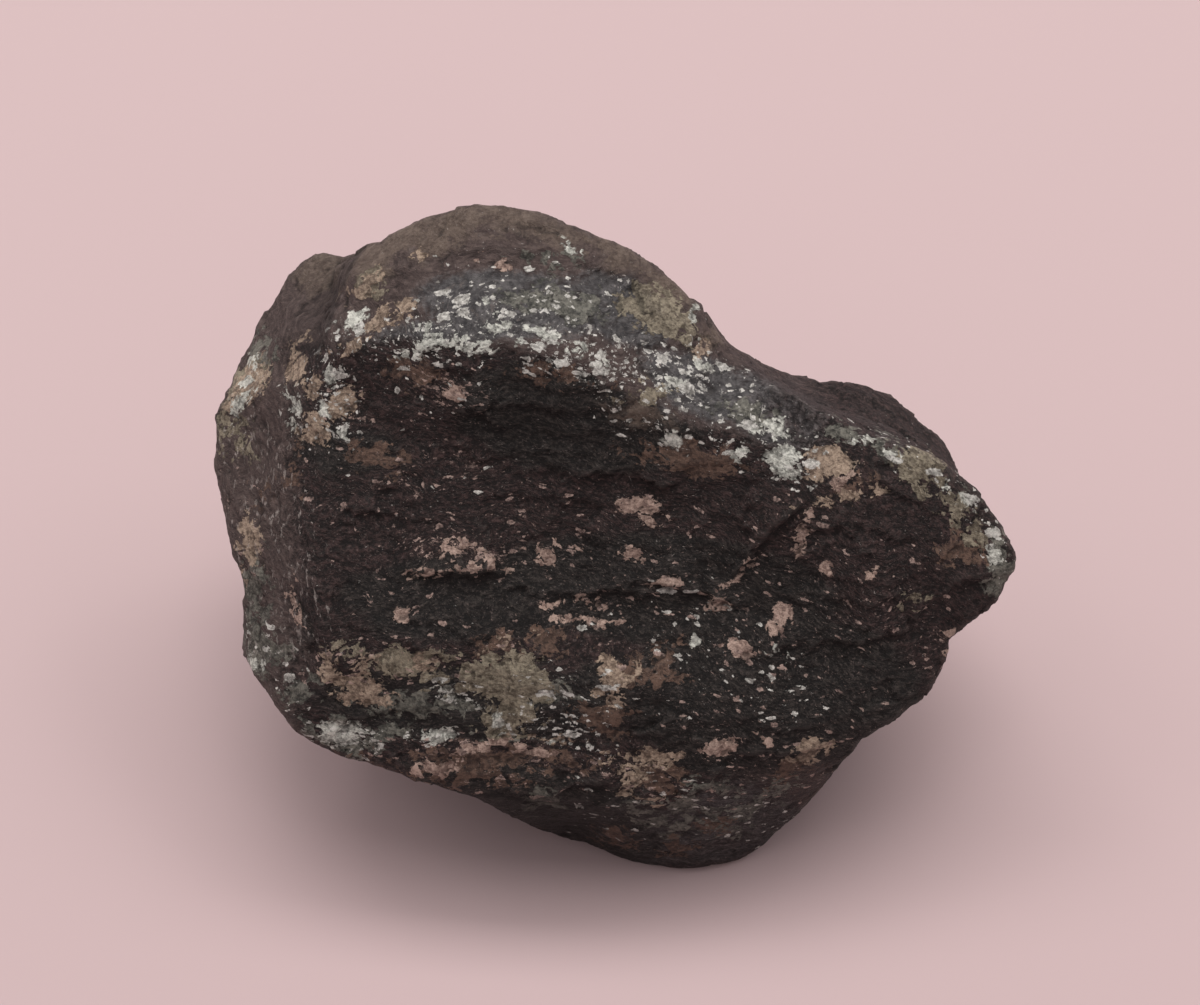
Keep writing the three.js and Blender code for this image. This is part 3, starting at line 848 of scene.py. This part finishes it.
MINERALS = [
    # name, how strongly it covers, dark tone, pale tone, which edge, how ragged, how soft
    # The smoky rim band keeps its own grey-brown, made a little paler as a painted highlight.
    ("smoky", 0.80, (0.092, 0.065, 0.052), (0.215, 0.165, 0.132), ragged_edge, 1.3, 0.70),
    ("green", 0.84, (0.036, 0.037, 0.032), (0.275, 0.268, 0.226), ragged_edge_b, 1.8, 0.15),
    ("brown", 0.88, (0.050, 0.030, 0.023), (0.195, 0.122, 0.090), ragged_edge, 1.7, 0.10),
    ("olive", 0.92, (0.088, 0.070, 0.049), (0.400, 0.348, 0.258), ragged_edge_b, 1.6, 0.08),
    ("beige", 0.94, (0.125, 0.086, 0.062), (0.560, 0.430, 0.325), ragged_edge, 1.2, 0.06),
    ("pink", 0.96, (0.160, 0.100, 0.082), (0.640, 0.470, 0.390), ragged_edge_b, 0.95, 0.05),
    ("chalk", 0.94, (0.200, 0.202, 0.180), (0.880, 0.885, 0.800), ragged_edge, 0.95, 0.10),
]
covered = {}
for name, strength, dark, pale, edge, raggedness, soft in MINERALS:
    covered[name] = patch_share(name, edge, raggedness, soft)
    finish = laid_over(covered[name], two_tone(tone, dark, pale), strength)
any_mineral = covered["green"]
for name in ("olive", "beige", "pink", "chalk"):
    any_mineral = sums(look, "MAXIMUM", any_mineral, covered[name])


def specks(name, field, rare, thick, sharp=0.02):
    """Specks where noise peaks, many where the named value is 1 and hardly any where it is 0."""
    limit = sums(look, "MULTIPLY_ADD", worn_value(name), thick - rare, rare)
    return ramp(look, sums(look, "SUBTRACT", field, limit), -sharp, sharp)


def chunks(name, scale, shift, rare, thick, reach):
    """Separate ragged grains longer than they are high, picked at random one by one."""
    moved_place = vectors(look, "ADD", chunk_place, shift)
    cells = put(look, "ShaderNodeTexVoronoi", {"Vector": moved_place, "Scale": scale}, feature="F1")
    lot = put(look, "ShaderNodeSeparateColor", {0: cells.outputs["Color"]}).outputs
    picked = sums(look, "LESS_THAN", lot[0], sums(look, "MULTIPLY_ADD", worn_value(name), thick - rare, rare))
    size = sums(look, "MULTIPLY", sums(look, "MULTIPLY_ADD", lot[1], 0.8, 0.45), reach)
    inside = plus(size, sums(look, "MULTIPLY", cells.outputs["Distance"], -1.0), off_centre(fine_noise, 0.38))
    return sums(look, "MULTIPLY", ramp(look, inside, 0.0, 0.07), picked)


# Small white and pink grains and fine pale streaks, drawn out along the layers.
chunk_shake = vectors(look, "SUBTRACT", cloud(look, at, 1.2, 3.0, 0.6, out="Color"), (0.5, 0.5, 0.5))
chunk_place = vectors(look, "MULTIPLY", drawn_out(1.7), (0.62, 1, 1))
chunk_place = vectors(look, "ADD", chunk_place, scaled(look, chunk_shake, 1.0))
speckle = cloud(look, vectors(look, "ADD", drawn_2, (17, 5, 9)), 1.9, 5.0, 0.70)
streak_field = cloud(look, drawn_out(4.5), 1.5, 4.0, 0.62)
pink_speckle = cloud(look, vectors(look, "ADD", drawn_out(2.6), (3, 41, 8)), 1.6, 5.0, 0.70)
white_grains = chunks("white_grains", 0.80, (0, 0, 0), -0.14, 0.56, 0.44)
white_grains = sums(look, "MAXIMUM", white_grains, chunks("white_grains", 1.6, (9, 2, 5), -0.03, 0.56, 0.40))
white_grains = sums(look, "MAXIMUM", white_grains, specks("white_grains", speckle, 0.71, 0.59))
pink_grains = chunks("pink_grains", 1.45, (4, 8, 1), -0.02, 0.50, 0.40)
pink_grains = sums(look, "MAXIMUM", pink_grains, specks("pink_grains", pink_speckle, 0.70, 0.575))
streaks = specks("streaks", streak_field, 0.72, 0.60)
# On the left flank the streaks run steeply down and forwards.
STEEP = (0.22, -0.55, -0.80)
along_steep = vectors(look, "DOT_PRODUCT", at, STEEP, out="Value")
squeezed_steep = scaled(look, STEEP, sums(look, "MULTIPLY", along_steep, 0.80))
steep_place = vectors(look, "SUBTRACT", at, squeezed_steep)
steep_streaks = specks("steep_streaks", cloud(look, steep_place, 2.0, 4.0, 0.62), 0.75, 0.59)
streaks = sums(look, "MAXIMUM", streaks, sums(look, "MULTIPLY", steep_streaks, 0.62))
finish = laid_over(streaks, two_tone(tone, (0.11, 0.088, 0.080), (0.60, 0.54, 0.50)), 0.80)
finish = laid_over(pink_grains, two_tone(tone, (0.09, 0.058, 0.052), (0.60, 0.44, 0.38)), 0.88)
finish = laid_over(white_grains, two_tone(tone, (0.22, 0.21, 0.19), (0.92, 0.90, 0.84)), 0.90)

# Painted shade darkens the cleft, the foot under the lip and the sunk nicks, and raised edges are made paler.
nick = worn_value("nick")
finish = laid_over(worn_value("painted_shade"), (0.010, 0.007, 0.0065, 1), 0.85)
finish = laid_over(ramp(look, nick, 0.2, 0.9), (0.20, 0.17, 0.155, 1), 0.10)
# Painted shade: sunk nicks are made darker.
finish = laid_over(ramp(look, nick, -0.1, -0.8), (0.008, 0.0055, 0.0055, 1), 0.6)
look.links.new(finish, surface.inputs["Base Color"])

rough = ramp(look, fine_mottle, 0.3, 0.7, 0.44, 0.72)
rough = sums(look, "MULTIPLY_ADD", sums(look, "MAXIMUM", covered["smoky"], covered["beige"]), -0.10, rough)
rough = sums(look, "MULTIPLY_ADD", covered["chalk"], 0.12, rough)
look.links.new(rough, surface.inputs["Roughness"])
surface.inputs["Specular IOR Level"].default_value = 0.27
surface.inputs["IOR"].default_value = 1.5

grit = cloud(look, at, 4.5, 4.0, 0.7)
bumps = sums(look, "MULTIPLY_ADD", thin_layers, 0.40, sums(look, "MULTIPLY", grit, 0.40))
bumps = sums(look, "MULTIPLY_ADD", fine_mottle, 0.50, bumps)
grain_height = plus(
    sums(look, "MULTIPLY", small_lot[2], 0.30), sums(look, "MULTIPLY", big_lot[2], 0.30), 0.10
)
bumps = sums(look, "MULTIPLY_ADD", any_mineral, grain_height, bumps)
raised = put(look, "ShaderNodeBump", {"Height": bumps, "Distance": 0.5 * MM, "Strength": 0.9})
look.links.new(raised.outputs[0], surface.inputs["Normal"])


# The stone brings its own map: six charts, one for each way the skin faces from the middle of the stone.
CHARTS = {
    # way out from the middle: the two ways across the chart, and its corner and size on the map
    (0, -1, 0): ((1, 0, 0), (0, 0, 1), (0.0, 0.0), (0.5, 0.32)),
    (0, 1, 0): ((-1, 0, 0), (0, 0, 1), (0.5, 0.0), (0.5, 0.32)),
    (0, 0, 1): ((1, 0, 0), (0, 1, 0), (0.0, 0.32), (0.5, 0.32)),
    (0, 0, -1): ((1, 0, 0), (0, -1, 0), (0.5, 0.32), (0.5, 0.32)),
    (-1, 0, 0): ((0, -1, 0), (0, 0, 1), (0.0, 0.64), (0.5, 0.36)),
    (1, 0, 0): ((0, 1, 0), (0, 0, 1), (0.5, 0.64), (0.5, 0.36)),
}
CHART_MARGIN = 0.94
heart = np.array([-1.0, -2.0, 24.0])
half_size = np.array([38.0, 25.0, 25.0])
rays = (places_of(stone_mesh) - heart) / half_size
corner_count = len(stone_mesh.loops)
corner_vertex = np.empty(corner_count, np.int64)
stone_mesh.loops.foreach_get("vertex_index", corner_vertex)
sides = np.empty(len(stone_mesh.polygons), np.int64)
stone_mesh.polygons.foreach_get("loop_total", sides)
face_of_corner = np.repeat(np.arange(len(sides)), sides)
face_ray = np.stack([np.bincount(face_of_corner, rays[corner_vertex, axis]) / sides for axis in range(3)], 1)
ways = np.array(list(CHARTS))
chart_of_face = np.argmax(face_ray @ ways.T, axis=1)
spread = np.zeros((corner_count, 2))
for number, (way, (right, upward, corner, size)) in enumerate(CHARTS.items()):
    here = chart_of_face[face_of_corner] == number
    ray = rays[corner_vertex[here]]
    depth = ray @ np.array(way)
    for axis, direction in enumerate((right, upward)):
        turned = np.arctan2(ray @ np.array(direction), depth) / (math.pi / 2)
        spread[here, axis] = corner[axis] + size[axis] * (0.5 + turned * CHART_MARGIN)
bake_map = stone_mesh.uv_layers.new(name="OFBake")
bake_map.data.foreach_set("uv", spread.ravel())

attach(stone, "root")
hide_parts("labradorite_chunk")
